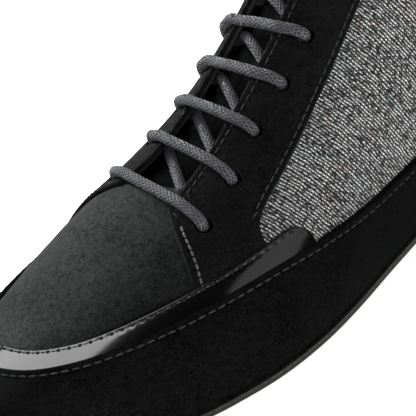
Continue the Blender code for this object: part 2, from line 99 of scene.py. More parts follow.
def feather_height(x):
    """Height of the feather line: sole thickness, plus shares of the heel lift and toe spring."""
    lift = np.clip(curve(BOTTOM, 1, x), 0, 1)
    spring = np.clip(curve(BOTTOM, 2, x), 0, 1)
    return SOLE_THICK + HEEL_LIFT * lift + TOE_SPRING * spring


def half_width(t, side):
    """Half width of one side: the sine of the station times a smooth fullness that ends in the end radii."""
    half = OUTLINE[:, 1 if side > 0 else 2] * BALL_WIDTH - side * swing(OUTLINE[:, 0])
    angles = station(OUTLINE[:, 0])
    ends = (math.sqrt(HEEL_RADIUS * LENGTH / 2), math.sqrt(TOE_RADIUS * LENGTH / 2))
    full = np.concatenate([[ends[0]], half / np.sin(angles), [ends[1]]])
    table = np.stack([np.concatenate([[0.0], angles, [math.pi]]), full], axis=1)
    return np.sin(t) * curve(table, 1, t)


def feather(t, side):
    """Feather line point: x by the station, y by the half width of that side, z by the bottom table."""
    x = share(t)
    y = np.where(side > 0, half_width(t, 1), -half_width(t, -1)) + swing(x)
    return np.stack([x * LENGTH + BACK_X, y + CENTRE_Y, feather_height(x)], axis=-1)


def unit(vectors):
    """Vectors scaled to length one."""
    return vectors / np.linalg.norm(vectors, axis=-1, keepdims=True)


def outline(t, side, out):
    """Feather line moved out by a distance along its normal in plan."""
    nudge = 0.002
    edge = feather(t, side)
    run = feather(t + nudge, side) - feather(t - nudge, side)
    away = side[..., None] * np.stack([-run[..., 1], run[..., 0]], axis=-1)
    edge[..., :2] += out[..., None] * unit(away)
    return edge


def slab(ts, profile):
    """Closed sections along the foot: each profile row (across, out, up) mixes the medial and lateral
    outline, moved out, by its share across, and stands up from the feather line."""
    across, out, up = np.array(profile).T
    t = np.broadcast_to(ts[:, None], (len(ts), len(across)))
    out = np.broadcast_to(out, t.shape)
    one = np.ones(t.shape)
    points = across[:, None] * outline(t, one, out) + (1 - across)[:, None] * outline(t, -one, out)
    points[..., 2] = feather_height(np.clip((points[..., 0] - BACK_X) / LENGTH, 0, 1)) + up
    return points


def both_sides(bottom, half, top):
    """Whole section from its bottom middle, lateral half and top middle: the half, then its mirror."""
    return (bottom, *half, top, *((1 - across, out, up) for across, out, up in half[::-1]))


def quads(rows, columns, closed_rows=False, closed_columns=False):
    """Corner indices of a grid of points, joined round where it is closed."""
    i = np.arange(rows if closed_rows else rows - 1)[:, None]
    k = np.arange(columns if closed_columns else columns - 1)
    j = (i + 1) % rows
    n = (k + 1) % columns
    corners = np.broadcast_arrays(i * columns + k, j * columns + k, j * columns + n, i * columns + n)
    return np.stack(corners, axis=-1).reshape(-1, 4)


scene = bpy.context.scene


def piece_from(name, points, faces, finishes, slots=None, spread=None, solid=True, ends=()):
    """One mesh object from an array of points, quads and end faces, doubles merged, with a finish slot for
    each face, a flat place (spread) for each point, and smooth shading."""
    mesh = bpy.data.meshes.new(name)
    mesh.from_pydata(points.reshape(-1, 3).tolist(), [], faces.tolist() + list(ends))
    for finish in finishes:
        mesh.materials.append(finish.made)
    if slots is not None:
        mesh.polygons.foreach_set("material_index", np.asarray(slots, dtype=np.int32))
    if spread is not None:
        layer = mesh.uv_layers.new(name="spread")
        corner = np.empty(len(mesh.loops), dtype=np.int32)
        mesh.loops.foreach_get("vertex_index", corner)
        layer.data.foreach_set("uv", spread.reshape(-1, 2)[corner].astype(np.float32).ravel())
    mesh.polygons.foreach_set("use_smooth", np.ones(len(mesh.polygons), dtype=bool))
    work = bmesh.new()
    work.from_mesh(mesh)
    bmesh.ops.remove_doubles(work, verts=work.verts, dist=0.00001)
    if solid:
        bmesh.ops.recalc_face_normals(work, faces=work.faces)
    work.to_mesh(mesh)
    work.free()
    piece = bpy.data.objects.new(name, mesh)
    scene.collection.objects.link(piece)
    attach(piece, "root")
    return piece


GRAIN_DEEP = 0.0002


class Finish:
    """A material with short calls for its nodes."""

    def __init__(self, name, colour, roughness):
        self.made = bpy.data.materials.new(name)
        self.made.use_nodes = True
        self.tree = self.made.node_tree
        self.shader = self.tree.nodes["Principled BSDF"]
        self.set("Base Color", (*colour, 1.0))
        self.set("Roughness", roughness)

    def set(self, socket, value):
        """A value that is the same all over the surface."""
        self.shader.inputs[socket].default_value = value

    def node(self, kind, links=(), **values):
        """A shader node with its sockets set by name, or by number, from values and links."""
        made = self.tree.nodes.new("ShaderNode" + kind)
        for key, value in values.items():
            setattr(made, key, value)
        for socket, source in links:
            if isinstance(source, bpy.types.NodeSocket):
                self.tree.links.new(source, made.inputs[socket])
            else:
                made.inputs[socket].default_value = source
        return made

    def place(self, kind="Object"):
        """Places on the piece: its object coordinates, or its own flat places."""
        return self.node("TexCoord").outputs[kind]

    def noise(self, scale, detail=3.0, rough=0.6):
        """Cloudy noise at a scale per metre."""
        links = [("Vector", self.place()), ("Scale", scale), ("Detail", detail), ("Roughness", rough)]
        return self.node("TexNoise", links).outputs["Fac"]

    def ramp(self, source, *stops):
        """Colours or greys at places of a value from 0 to 1."""
        made = self.node("ValToRGB", [("Fac", source)])
        bar = made.color_ramp.elements
        while len(bar) < len(stops):
            bar.new(0.5)
        for element, (place, colour) in zip(bar, stops):
            element.position = place
            element.color = (*colour, 1.0) if isinstance(colour, tuple) else (colour, colour, colour, 1.0)
        return made.outputs["Color"]

    def math(self, way, *values):
        """Sum, product or other reckoning of values."""
        return self.node("Math", enumerate(values), operation=way).outputs[0]

    def bump(self, height, strength, distance):
        """Relief from a height value, in metres at full strength."""
        links = [("Height", height), ("Strength", strength), ("Distance", distance)]
        self.link("Normal", self.node("Bump", links).outputs["Normal"])

    def grain(self, scale, detail, strength):
        """Fine relief from cloudy noise."""
        self.bump(self.noise(scale, detail), strength, GRAIN_DEEP)

    def link(self, socket, source):
        """A value that changes over the surface."""
        self.tree.links.new(source, self.shader.inputs[socket])


sole_finish = Finish("sole_leather", (0.008, 0.007, 0.006), 0.8)
sole_finish.link("Base Color", sole_finish.ramp(
    sole_finish.noise(180.0), (0.3, (0.005, 0.004, 0.004)), (0.7, (0.012, 0.010, 0.008))))
sole_finish.grain(2500.0, 4.0, 0.25)
edge_finish = Finish("raw_sole_line", (0.04, 0.035, 0.025), 0.8)
edge_finish.link("Base Color", edge_finish.ramp(
    edge_finish.noise(1500.0), (0.40, (0.010, 0.009, 0.007)), (0.60, (0.060, 0.052, 0.036))))

EDGE = 0.0012
LINE_TOP = -0.0017
LINE_LOW = -0.0024
# Section of the outsole: share across, distance out, height over the feather line
SOLE_PROFILE = both_sides((0.5, EDGE - 0.0020, -SOLE_THICK), (
    (0.85, EDGE - 0.0020, -SOLE_THICK), (1.0, EDGE - 0.0008, -SOLE_THICK),
    (1.0, EDGE - 0.0002, -SOLE_THICK + 0.0003), (1.0, EDGE, LINE_LOW), (1.0, EDGE, LINE_TOP),
    (1.0, EDGE, -0.0003), (1.0, EDGE - 0.0004, 0.0)), (0.5, 0.0, 0.0))
# Columns of that section between the two edges of the raw line
LINE_COLUMNS = (4, 11)
sole_ts = np.linspace(0.0, math.pi, 241)
sole_points = slab(sole_ts, SOLE_PROFILE)
sole_faces = quads(len(sole_ts), len(SOLE_PROFILE), closed_columns=True)
sole_column = np.tile(np.arange(len(SOLE_PROFILE)), len(sole_ts) - 1)
outsole = piece_from("outsole_leather", sole_points, sole_faces, (sole_finish, edge_finish),
                     np.isin(sole_column, LINE_COLUMNS))
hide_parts("outsole")

# Heel: a low lift of rubber glued under the rear of the outsole, trimmed a little smaller at the floor.
# Its front is cut straight across.
HEEL_FRONT = 0.25
HEEL_GAP = 0.0001
heel_finish = Finish("heel_rubber", (0.014, 0.013, 0.012), 0.65)
heel_finish.grain(1800.0, 4.0, 0.3)
heel_ts = np.linspace(0.0, station(HEEL_FRONT), 61)
# Section of the heel: share across, distance out, share of the depth down to the floor
HEEL_PROFILE = both_sides((0.5, EDGE - 0.002, 1.0), (
    (0.9, EDGE - 0.002, 1.0), (1.0, EDGE - 0.0012, 1.0), (1.0, EDGE - 0.0008, 0.94),
    (1.0, EDGE - 0.0004, 0.10), (1.0, EDGE - 0.0006, 0.0)), (0.5, 0.0, 0.0))
heel_points = slab(heel_ts, HEEL_PROFILE)
heel_depth = np.array(HEEL_PROFILE)[:, 2]
heel_roof = heel_points[..., 2] - heel_depth - SOLE_THICK - HEEL_GAP
heel_points[..., 2] = heel_roof * (1 - heel_depth)
heel_faces = quads(len(heel_ts), len(HEEL_PROFILE), closed_columns=True)
heel_front = list(range((len(heel_ts) - 1) * len(HEEL_PROFILE), len(heel_ts) * len(HEEL_PROFILE)))
heel = piece_from("heel_rubber", heel_points, heel_faces, (heel_finish,), ends=[heel_front])
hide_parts("heel")

# Upper: one lasted wall, a suede vamp in front and glitter cloth quarters behind, lined with thin leather.
# Each rib of the last is a cubic arc from the feather line to the instep ridge, and the wall stops at the
# collar, which is bound with a folded suede strip, and at the throat.
INSTEP_HEIGHT = 0.077
COLLAR_HEIGHT = 0.062
RIDGE_MEDIAL = 0.0060
RIDGE_TURN = (0.42, 0.72)
WALL = 0.0018
HEEL_POLE = 0.20
TOE_POLE = 0.84
POLE_BLEND = 0.05
SLOPE_EASE = 0.1
THROAT_FRONT = 0.698
THROAT_ROUND = 0.020
THROAT_TOP = 0.405
COLLAR_CORNER = 0.020
CLOTH_FRONT = 0.692
CLOTH_UNDER = 0.012

# Instep ridge, closed over the throat and ankle: share of length, share of instep height
RIDGE = np.array([
    (0.00, 1.714), (0.20, 1.688), (0.32, 1.455), (0.42, 1.198), (0.50, 0.992), (0.58, 0.814),
    (0.66, 0.694), (0.74, 0.618), (0.80, 0.553), (0.86, 0.468), (0.90, 0.413)])

# Rib shape: share of length, lean at the feather in degrees, rise and crown fullness
RIB = np.array([
    (0.00, 6.0, 0.30, 0.95), (0.20, 6.0, 0.34, 0.95), (0.40, 10.0, 0.42, 0.80),
    (0.55, 14.0, 0.46, 0.66), (0.70, 16.0, 0.50, 0.58), (0.84, 16.0, 0.52, 0.56),
    (1.00, 14.0, 0.62, 0.62)])

# Collar line: share of length, share of collar height
COLLAR = np.array([
    (0.00, 1.18), (0.06, 1.14), (0.14, 1.03), (0.21, 1.00), (0.28, 1.06), (0.35, 1.25), (0.42, 1.50)])

# Throat and facings: share of length, lateral and medial half width of the throat, width of a facing
THROAT = np.array([
    (0.400, 0.0100, 0.0040, 0.0215), (0.470, 0.0102, 0.0050, 0.0220), (0.550, 0.0106, 0.0065, 0.0226),
    (0.600, 0.0112, 0.0067, 0.0235), (0.635, 0.0123, 0.0068, 0.0240), (0.650, 0.0127, 0.0070, 0.0250),
    (0.659, 0.0129, 0.0071, 0.0272), (0.668, 0.0131, 0.0073, 0.0350), (0.760, 0.0170, 0.0130, 0.0600)])


def ridge_shift(x):
    """Drift of the ridge to the inner side, eased in along the instep between RIDGE_TURN's two shares."""
    s = np.clip((x - RIDGE_TURN[0]) / (RIDGE_TURN[1] - RIDGE_TURN[0]), 0, 1)
    return RIDGE_MEDIAL * s * s * (3 - 2 * s)


def apex(t):
    """Ridge point and slope at a station: the ridge table, held at the heel and toe poles by a soft stop."""
    x = share(t)
    x = (x + HEEL_POLE + np.sqrt((x - HEEL_POLE) ** 2 + POLE_BLEND ** 2)) / 2
    x = (x + TOE_POLE - np.sqrt((x - TOE_POLE) ** 2 + POLE_BLEND ** 2)) / 2
    nudge = 0.004
    z = curve(RIDGE, 1, x) * INSTEP_HEIGHT
    rise = (curve(RIDGE, 1, x + nudge) - curve(RIDGE, 1, x - nudge)) * INSTEP_HEIGHT
    slope = rise / (2 * nudge * LENGTH) * np.clip((share(t) - HEEL_POLE) / SLOPE_EASE, 0, 1)
    y = swing(x) - ridge_shift(x)
    return np.stack([x * LENGTH + BACK_X, y + CENTRE_Y, z], axis=-1), slope


def rib(t, v, side):
    """Outer face of the upper: a cubic arc from the feather line (v = 0), leaning out, to the ridge (1)."""
    t, v, side = np.broadcast_arrays(t, v, side)
    foot = feather(t, side)
    top, slope = apex(t)
    plan = (foot - top)[..., :2]
    width = np.linalg.norm(plan, axis=-1)
    plan = plan / width[..., None]
    x = share(t)
    lean = np.radians(curve(RIB, 1, x))
    rise = curve(RIB, 2, x) * (top - foot)[..., 2]
    crown = curve(RIB, 3, x) * width
    out = np.sin(lean)[..., None] * plan
    first = foot + rise[..., None] * np.concatenate([out, np.cos(lean)[..., None]], axis=-1)
    last = top + crown[..., None] * np.concatenate([plan, (slope * plan[..., 0])[..., None]], axis=-1)
    v = v[..., None]
    w = 1 - v
    return w ** 3 * foot + 3 * v * w * w * first + 3 * v * v * w * last + v ** 3 * top


def outward(t, v, side):
    """Outward normal of the upper: the cross product of its two slopes."""
    nudge = 0.002
    v = np.minimum(v, 1 - 3 * nudge)
    along = rib(t + nudge, v, side) - rib(t - nudge, v, side)
    up = rib(t, v + nudge, side) - rib(t, v - nudge, side)
    return unit(side[..., None] * np.cross(up, along))


def skin(t, v, side, out):
    """Point at a distance out from the upper's outer face, square to it."""
    t, v, side, out = np.broadcast_arrays(t, v, side, out)
    return rib(t, v, side) + out[..., None] * outward(t, v, side)


SAMPLES = np.linspace(0.0, 1.0, 161)


def reach(rising, level):
    """Rib parameter at which each row of a rising quantity, taken at SAMPLES, comes to its levels."""
    k = np.clip((rising[:, None, :] < level[..., None]).sum(axis=-1), 1, len(SAMPLES) - 1)
    row = np.arange(len(rising))[:, None]
    low = rising[row, k - 1]
    part = np.clip((level - low) / np.maximum(rising[row, k] - low, 1e-9), 0, 1)
    return (k - 1 + part) / (len(SAMPLES) - 1)


def ribs(t, side):
    """Points of each rib at SAMPLES."""
    return rib(t[:, None], SAMPLES, side[:, None])


def girth(t, side):
    """Girth along each rib above the feather line, at SAMPLES: the running sum of its chords."""
    steps = np.linalg.norm(np.diff(ribs(t, side), axis=1), axis=2)
    return np.concatenate([np.zeros((len(t), 1)), np.cumsum(steps, axis=1)], axis=1)


def at_height(t, side, height):
    """Rib parameter at one girth height for each station."""
    return reach(girth(t, side), height[:, None])[:, 0]


def at_parameter(runs, v):
    """Girth of each rib at one rib parameter, between its samples."""
    k = v * (len(SAMPLES) - 1)
    i = np.clip(k.astype(int), 0, len(SAMPLES) - 2)
    row = np.arange(len(runs))
    return runs[row, i] + (k - i) * (runs[row, i + 1] - runs[row, i])


def at_side(t, side, away):
    """Rib parameter at one distance sideways from the ridge for each station."""
    points = ribs(t, side)
    return reach(side[:, None] * (points[:, -1:, 1] - points[..., 1]), -away[:, None])[:, 0]


def throat_edge(t, side, turned):
    """Rib parameter of the throat edge: where the rib comes within the throat's half width, and, if turned,
    rounded off in front."""
    x = share(t)
    turn = np.clip((x - THROAT_FRONT + THROAT_ROUND) / THROAT_ROUND, 0, 1) if turned else 0 * x
    half = np.where(side > 0, curve(THROAT, 1, x), curve(THROAT, 2, x))
    half -= side * (apex(t)[0][:, 1] - CENTRE_Y)
    return at_side(t, side, half * np.sqrt(1 - turn * turn))


def top_edge(t, side):
    """Rib parameter of the wall's top: the lowest of closed ridge, throat edge and collar line."""
    x = share(t)
    collar = reach(ribs(t, side)[..., 2], (curve(COLLAR, 1, x) * COLLAR_HEIGHT)[:, None])[:, 0]
    throat = np.where(x < THROAT_TOP - THROAT_ROUND, 1.0, throat_edge(t, side, True))
    top = np.where(x > COLLAR[-1, 0], throat, np.minimum(collar, throat))
    return np.where(x >= THROAT_FRONT, 1.0, top)


def throat_girth(t, side):
    """Girth of the throat edge, carried on over the closed vamp, and held under the collar."""
    v = throat_edge(t, side, False)
    v = np.where(share(t) < THROAT_TOP + COLLAR_CORNER, np.minimum(v, top_edge(t, side)), v)
    return at_parameter(girth(t, side), v)


def suede(name, dark, light, nap=1.0, painted_light=None):
    """Brushed black suede: cloudy nap, a mottle and a fine speckle in two greys, a fibre relief, and a soft
    sheen. Given a ramp of painted light, the suede is painted paler along the shoe, from a place to a place
    and from a tone to a tone."""
    made = Finish(name, light, 0.95)
    cloud = made.noise(55.0, 5.0, 0.6)
    mottle = made.noise(620.0, 2.0, 0.7)
    speckle = made.noise(2700.0, 1.0, 0.7)
    broad = made.math("MULTIPLY_ADD", cloud, 0.20, made.math("MULTIPLY", mottle, 0.30))
    mixed = made.math("MULTIPLY_ADD", speckle, 0.50, broad)
    tone = made.ramp(mixed, (0.40, dark), (0.60, light))
    # Painted light: the tone is scaled along the shoe, paler where the ramp is high
    if painted_light:
        along = made.node("SeparateXYZ", [(0, made.place())]).outputs[0]
        pale = made.node("MapRange", [(0, along), *enumerate(painted_light, 1)]).outputs[0]
        tone = made.node("VectorMath", [(0, tone), ("Scale", pale)], operation="SCALE").outputs[0]
    made.link("Base Color", tone)
    made.bump(speckle, 0.6 * nap, 0.0005)
    made.set("Sheen Weight", 0.03 * nap)
    made.set("Sheen Roughness", 0.5)
    made.set("Sheen Tint", (0.75, 0.82, 0.80, 1.0))
    made.set("Specular IOR Level", 0.02)
    return made


vamp_suede = suede("vamp_suede", (0.0048, 0.0050, 0.0050), (0.0345, 0.0355, 0.0353))
lining = Finish("lining_leather", (0.020, 0.019, 0.018), 0.75)
lining.link("Base Color", lining.ramp(
    lining.noise(120.0), (0.3, (0.014, 0.013, 0.012)), (0.7, (0.028, 0.026, 0.025))))
lining.grain(1400.0, 4.0, 0.3)

# Glitter cloth: black ground with bright metal yarn in a fine steep twill, blue and rose among the silver
YARN_PITCH = 0.00102
YARN_DASH = 0.00116
TWILL_LEAN = math.radians(112.0)
glitter = Finish("glitter_cloth", (0.05, 0.05, 0.05), 0.5)
on_cloth = glitter.place("UV")
wander = glitter.node("TexNoise", [("Vector", on_cloth), ("Scale", 0.35), ("Detail", 2.0)])
drift = glitter.node("VectorMath", [(0, wander.outputs["Color"]), (1, (0.5, 0.5, 0.5))],
                     operation="SUBTRACT")
woven = glitter.node("VectorMath", [(0, drift.outputs[0]), (1, (1.1, 1.1, 0.0)), (2, on_cloth)],
                     operation="MULTIPLY_ADD")
thread = glitter.node("SeparateXYZ", [(0, woven.outputs[0])])
float_wave, line_wave = (
    glitter.math("COSINE", glitter.math("MULTIPLY", thread.outputs[k], 2 * math.pi)) for k in (0, 1))
broken = glitter.math("MULTIPLY_ADD", float_wave, 0.40, 0.50)
raised = glitter.math("MULTIPLY_ADD", line_wave, broken, 0.36)
body = glitter.math("POWER", glitter.math("MAXIMUM", raised, 0.0), 1.5)
yarn = glitter.node("TexVoronoi", [("Vector", on_cloth), ("Scale", 1.6)], voronoi_dimensions="2D")
fleck = glitter.node("SeparateColor", [("Color", yarn.outputs["Color"])])
bright = glitter.ramp(fleck.outputs["Red"], (0.0, 0.03), (0.32, 0.28), (0.70, 1.0))
tint = glitter.ramp(fleck.outputs["Green"], (0.0, (0.70, 0.80, 0.88)), (0.16, (0.94, 0.97, 0.96)),
                    (0.86, (0.97, 0.97, 0.94)), (1.0, (1.0, 0.74, 0.70)))
shade = glitter.node("Mix", [("Factor", glitter.math("MULTIPLY", body, bright)),
                                       (6, (0.004, 0.004, 0.005, 1.0)), (7, tint)], data_type="RGBA")
glitter.link("Base Color", shade.outputs[2])
glitter.link("Roughness", glitter.ramp(fleck.outputs["Blue"], (0.0, 0.30), (1.0, 0.60)))
glitter.set("Specular IOR Level", 0.1)
glitter.bump(body, 0.4, 0.0003)

BINDING = 0.006
BINDING_RISE = 0.0005
BINDING_ROUND = 0.0008
UPPER_HALF = 230
UPPER_ROWS = 58
BINDING_ROWS = 8


def round_shoe(q):
    """Station and side at places round the shoe: nought at the toe, pi at the heel, medial below nought."""
    return math.pi - np.abs(q), np.where(q < 0, -1.0, 1.0)


def run_along(points):
    """Distance run along a line of points: the running sum of its steps."""
    return np.concatenate([[0.0], np.cumsum(np.linalg.norm(np.diff(points, axis=0), axis=1))])


def round_edge(distance, radius):
    """Share of full thickness at a distance from a panel's edge: a quarter circle of the given radius."""
    return np.sqrt(1 - (1 - np.clip(distance / radius, 0, 1)) ** 2)


# Soft creases: share of length, lateral and medial girth, half widths along and up, lean, and rise, which is
# below nought in a trough
CREASES = np.array([
    (0.792, 0.066, 0.066, 0.011, 0.020, 0.15, -0.00030), (0.774, 0.064, 0.064, 0.010, 0.018, 0.15, 0.00014),
    (0.812, 0.060, 0.060, 0.009, 0.014, 0.20, -0.00016), (0.470, 0.038, 0.036, 0.020, 0.010, -0.60, -0.00030),
    (0.330, 0.048, 0.046, 0.018, 0.012, -0.50, -0.00035), (0.270, 0.044, 0.042, 0.020, 0.010, -0.40, 0.00020),
    (0.180, 0.042, 0.040, 0.030, 0.008, 0.30, -0.00035)])


def crease_relief(t, side, heights):
    """Rise of the creases at girth heights: a sum of soft bells, each longer up the rib than along the shoe
    and leaning along the length as it goes up."""
    total = np.zeros_like(heights)
    for x0, lateral, medial, wide, tall, lean, rise in CREASES:
        up = heights - np.where(side > 0, lateral, medial)[:, None]
        along = share(t)[:, None] - x0 - lean * up
        total += rise * np.exp(-(along / wide) ** 2 - (up / tall) ** 2)
    return total


def upper_face(inward):
    """Points of the wall round the shoe, rib by rib from the feather to its top edge, at a depth under its
    outer face, and their girth heights. The outer face has the raised binding along the collar."""
    runs = girth(loop_t, loop_side)
    top = top_edge(loop_t, loop_side)
    full = at_parameter(runs, top)[:, None]
    low = (full - BINDING) * np.linspace(0, 1, UPPER_ROWS - BINDING_ROWS)
    high = full - BINDING + BINDING * np.linspace(0, 1, BINDING_ROWS + 1)[1:]
    levels = np.concatenate([low, high], axis=1)
    v = np.minimum(reach(runs, levels), top[:, None])
    bound = BINDING_RISE * round_edge(levels - full + BINDING, BINDING_ROUND)
    bound *= (share(loop_t) < THROAT_TOP)[:, None]
    points = skin(loop_t[:, None], v, loop_side[:, None],
                  crease_relief(loop_t, loop_side, levels) + (bound if inward == 0 else 0.0) - inward)
    ridge, slope = apex(loop_t)
    square = unit(np.stack([-slope, 0 * slope, 1 + 0 * slope], axis=-1))
    closed = (share(loop_t) >= THROAT_FRONT)[:, None]
    points[:, -1] = np.where(closed, ridge - inward * square, points[:, -1])
    return points, levels


loop = np.linspace(-math.pi, math.pi, 2 * UPPER_HALF + 1)[:-1]
loop_t, loop_side = round_shoe(loop)
outer, heights = upper_face(0.0)
inner, _ = upper_face(WALL)
count = len(loop) * UPPER_ROWS
wall = quads(len(loop), UPPER_ROWS, closed_rows=True)
now = np.arange(len(loop))
then = (now + 1) % len(loop)
open_top = (share(loop_t) < THROAT_FRONT) | (share(loop_t[then]) < THROAT_FRONT)
rims = []
for column, keep in ((0, np.ones(len(loop), bool)), (UPPER_ROWS - 1, open_top)):
    a = (now * UPPER_ROWS + column)[keep]
    b = (then * UPPER_ROWS + column)[keep]
    rims.append(np.stack([a, b, b + count, a + count], axis=1))
under_facing = np.where(share(loop_t) > THROAT_TOP + COLLAR_CORNER / 2,
                        throat_girth(loop_t, loop_side) - CLOTH_UNDER, 1.0)
quarter = (share(loop_t) < CLOTH_FRONT)[:, None] & (heights < under_facing[:, None])
quarter[:, UPPER_ROWS - BINDING_ROWS - 1:] = False
slots = np.concatenate([np.where(quarter[:, :-1], 1, 0).ravel(), np.full(len(wall), 2),
                        np.full(len(rims[0]) + len(rims[1]), 2)])
around = run_along(outer[:, UPPER_ROWS // 3])[:, None]
flat = np.stack([(around * math.cos(TWILL_LEAN) + heights * math.sin(TWILL_LEAN)) / YARN_DASH,
                 (heights * math.cos(TWILL_LEAN) - around * math.sin(TWILL_LEAN)) / YARN_PITCH], axis=-1)
upper_finishes = (vamp_suede, glitter, lining)
upper = piece_from("upper_wall", np.concatenate([outer, inner]), np.concatenate([wall, wall + count] + rims),
                   upper_finishes, slots, np.concatenate([flat, flat]))
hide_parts("upper")

# Insole: a sock of thin padded cloth, cut to the inside of the wall and rounded along its edge.
# It lies glued on the outsole.
sock = Finish("sock_cloth", (0.040, 0.038, 0.036), 0.9)
sock.grain(2200.0, 3.0, 0.4)
# Section of the sock: share across, distance out, height over the feather line
SOCK_PROFILE = both_sides((0.5, -0.004, 0.0003), (
    (1.0, -0.0032, 0.0003), (1.0, -0.0026, 0.0010), (1.0, -0.0027, 0.0024), (1.0, -0.0036, 0.0032),
    (0.75, -0.004, 0.0033)), (0.5, -0.004, 0.0033))
SOCK_ENDS = 0.09
sock_ts = np.linspace(SOCK_ENDS, math.pi - SOCK_ENDS, 121)
insole = piece_from("insole_sock", slab(sock_ts, SOCK_PROFILE),
                    quads(len(sock_ts), len(SOCK_PROFILE), closed_columns=True), (sock,))
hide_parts("insole")

# Tongue: a padded suede leaf under the throat, raised between the facings and rounded at its top end.
# Its front end is tucked up under the vamp and sewn there.
TONGUE_THICK = 0.0030
TONGUE_PAD = 0.0016
PAD_HALF = 0.62
PAD_FRONT = 0.70
PAD_FADE = 0.02
TIP_ROUND = 0.0016

# Leaf: share of length, half width, depth under the upper's outer face
TONGUE = np.array([
    (0.378, 0.013, 0.0064), (0.381, 0.019, 0.0064), (0.387, 0.0235, 0.0064), (0.398, 0.0265, 0.0064),
    (0.430, 0.027, 0.0064), (0.560, 0.024, 0.0064), (0.690, 0.023, 0.0064),
    (0.715, 0.022, 0.0060), (0.735, 0.021, 0.0032), (0.755, 0.020, 0.0023)])


def steps(stops, counts):
    """Places from stop to stop, in a count of even steps for each span."""
    spans = [np.linspace(a, b, count + 1)[1:] for a, b, count in zip(stops, stops[1:], counts)]
    return np.concatenate([stops[:1], *spans])


tongue_t = station(steps((TONGUE[0, 0], TONGUE[3, 0], TONGUE[-1, 0]), (25, 79)))
tongue_across = np.linspace(1, -1, 49)


def over_ridge(t, side, heights):
    """Side and rib parameter at girth heights, which run on down the other side past the ridge."""
    near = girth(t, side)
    far = girth(t, -side)
    past = heights - near[:, -1:]
    v = np.where(past > 0, reach(far, far[:, -1:] - past), reach(near, heights))
    return np.where(past > 0, -side[:, None], side[:, None]), v


def tongue_face(extra):
    """Points across the leaf at each station, measured along the arch: its depth, less the pad's rise, and a
    share of its thickness, which thins to the sides and the top end."""
    x = share(tongue_t)
    across = curve(TONGUE, 1, x)[:, None] * tongue_across + ridge_shift(x)[:, None]
    tip = 0.25 + 0.75 * round_edge((x - x[0]) * LENGTH, TIP_ROUND)
    edge = np.sqrt(np.clip(1 - tongue_across ** 8, 0, 1)) * tip[:, None]
    fade = np.clip((PAD_FRONT - x) / PAD_FADE, 0, 1)
    pad = TONGUE_PAD * np.exp(-(tongue_across / PAD_HALF) ** 4) * fade[:, None]
    depth = curve(TONGUE, 2, x)[:, None] + TONGUE_THICK / 2 + (extra - 0.5) * TONGUE_THICK * edge - pad
    medial = np.full_like(tongue_t, -1.0)
    side, v = over_ridge(tongue_t, medial, girth(tongue_t, medial)[:, -1:] + across)
    return skin(tongue_t[:, None], v, side, -depth)


tongue_suede = suede("tongue_suede", (0.018, 0.019, 0.019), (0.066, 0.069, 0.069))
leaf = np.concatenate([tongue_face(0.0), tongue_face(1.0)[:, ::-1]], axis=1)
rows, columns = leaf.shape[:2]
k = np.arange(len(tongue_across) - 1)
end = np.stack([k, k + 1, columns - 2 - k, columns - 1 - k], axis=1)
leaf_faces = np.concatenate([quads(rows, columns, closed_columns=True), end, end + (rows - 1) * columns])
tongue = piece_from("tongue_leaf", leaf, leaf_faces, (tongue_suede,))
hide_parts("tongue")

# Facings: one suede lace panel a side, from the collar corner along the throat to the toe strip, with punched
# eyelets. They are sewn down along every edge, with light thread along the front edge.
FACING_THICK = 0.0013
FACING_THREAD = FACING_THICK - 0.00025
FACING_OVER = 0.001
FACING_UNDER = 0.002
FACING_LEAST = 0.0002
FACING_REAR = 0.002
FACING_TURN = (0.63, 0.675)
STRIP_REAR = 0.614
STRIP_ROUND = 0.022
STITCH_PITCH = 0.0030
STITCH_SUNK = 0.00008
FRONT_PITCH = 0.0021
SEAM_IN = 0.0024
SEAM_REAR = 0.0017
SEAM_TURN = 0.716
FRONT_SEAM_END = 0.748
REAR_SEAM_END = 0.664
GROOVE = 0.0005
GROOVE_DEEP = 0.0003
GROOVE_END = 0.004
EDGE_ROUND = 0.0006
SUNK = 0.0001
EYELET_RADIUS = 0.0025
PUNCH_SIDES = 24
PUNCH_REACH = 0.006

# Girth heights above the feather line: share of length, rand top, strip top
BANDS = np.array([
    (0.00, 0.0235, 0.0235), (0.20, 0.0215, 0.0215), (0.45, 0.0200, 0.0200), (0.53, 0.0205, 0.0205),
    (0.61, 0.0227, 0.0296), (0.66, 0.0242, 0.0303), (0.713, 0.0250, 0.0305), (0.775, 0.0250, 0.0304),
    (0.835, 0.0249, 0.0301), (0.90, 0.0249, 0.0303), (0.95, 0.0258, 0.0320), (1.00, 0.0285, 0.0358)])

# Lip of the medial facing past the throat edge: share of length, girth
MEDIAL_LIP = np.array([
    (0.400, 0.0005), (0.500, 0.0014), (0.614, 0.0024), (0.662, 0.0026), (0.705, 0.0018), (0.735, 0.0)])

# Front edge of a facing: share of length, share of the height from strip to throat edge
FACING_FRONT = np.array([(0.712, 1.00), (0.722, 0.84), (0.740, 0.41), (0.7545, 0.02)])

# Lace rows, front to back: share of length and inset from the throat edge, lateral eyelet and medial eyelet
ROWS = np.array([
    (0.700, 0.0128, 0.700, 0.0060), (0.643, 0.0117, 0.645, 0.0052), (0.590, 0.0096, 0.599, 0.0046),
    (0.536, 0.0100, 0.553, 0.0064), (0.486, 0.0100, 0.509, 0.0066), (0.440, 0.0100, 0.467, 0.0066)])


def strip_top(x):
    """Top of the glossy strip: its band height, falling to the rand in a quarter round at the rear."""
    low = curve(BANDS, 1, x)
    s = np.clip((x - STRIP_REAR) / STRIP_ROUND, 0, 1)
    return low + (curve(BANDS, 2, np.maximum(x, STRIP_REAR + STRIP_ROUND)) - low) * np.sqrt(s * (2 - s))


